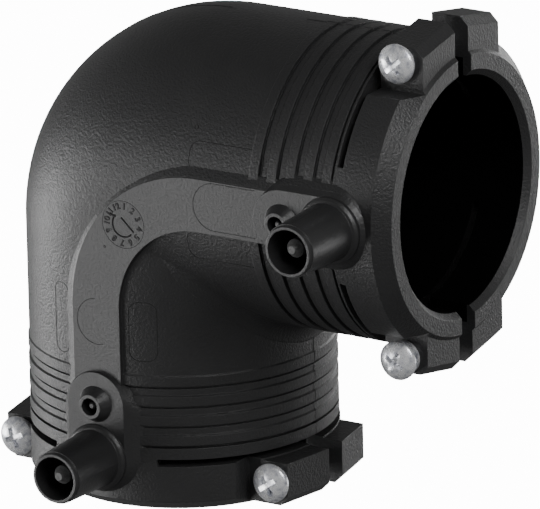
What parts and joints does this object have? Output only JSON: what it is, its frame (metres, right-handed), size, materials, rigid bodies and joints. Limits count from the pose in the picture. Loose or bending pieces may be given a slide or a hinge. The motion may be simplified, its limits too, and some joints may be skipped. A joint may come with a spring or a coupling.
{
  "type": "electrofusion elbow",
  "caption": "Right-angle pipe elbow with a heated socket at each end, integral screw clamps, shrouded terminals and fusion indicators.",
  "frame": {"origin": "centre of the lower socket's mouth, in the plane that the fitting stands on", "axes": "+Z along the lower socket's axis towards the bend, +X along the upper socket's axis out of its mouth, contacts towards -Y"},
  "size_m": [0.1097, 0.0844, 0.1097],
  "materials": {
    "polyethylene": "fine moulded texture, matte",
    "plated_pin": "tin plated",
    "heating_wire": "bare drawn wire",
    "zinc": "bright zinc plated"
  },
  "bodies": {
    "root": {"elbow_body": "polyethylene", "contact_pin_lower": "plated_pin", "contact_pin_upper": "plated_pin", "indicator_pin_lower": "plated_pin", "indicator_pin_upper": "plated_pin", "winding_lower": "heating_wire", "winding_upper": "heating_wire", "link_wire": "heating_wire", "clamp_screw_lower_left": "zinc", "clamp_screw_lower_right": "zinc", "clamp_screw_upper_bottom": "zinc", "clamp_screw_upper_top": "zinc", "clamp_washer_lower_left": "zinc", "clamp_washer_lower_right": "zinc", "clamp_washer_upper_bottom": "zinc", "clamp_washer_upper_top": "zinc"}
  },
  "joints": []
}
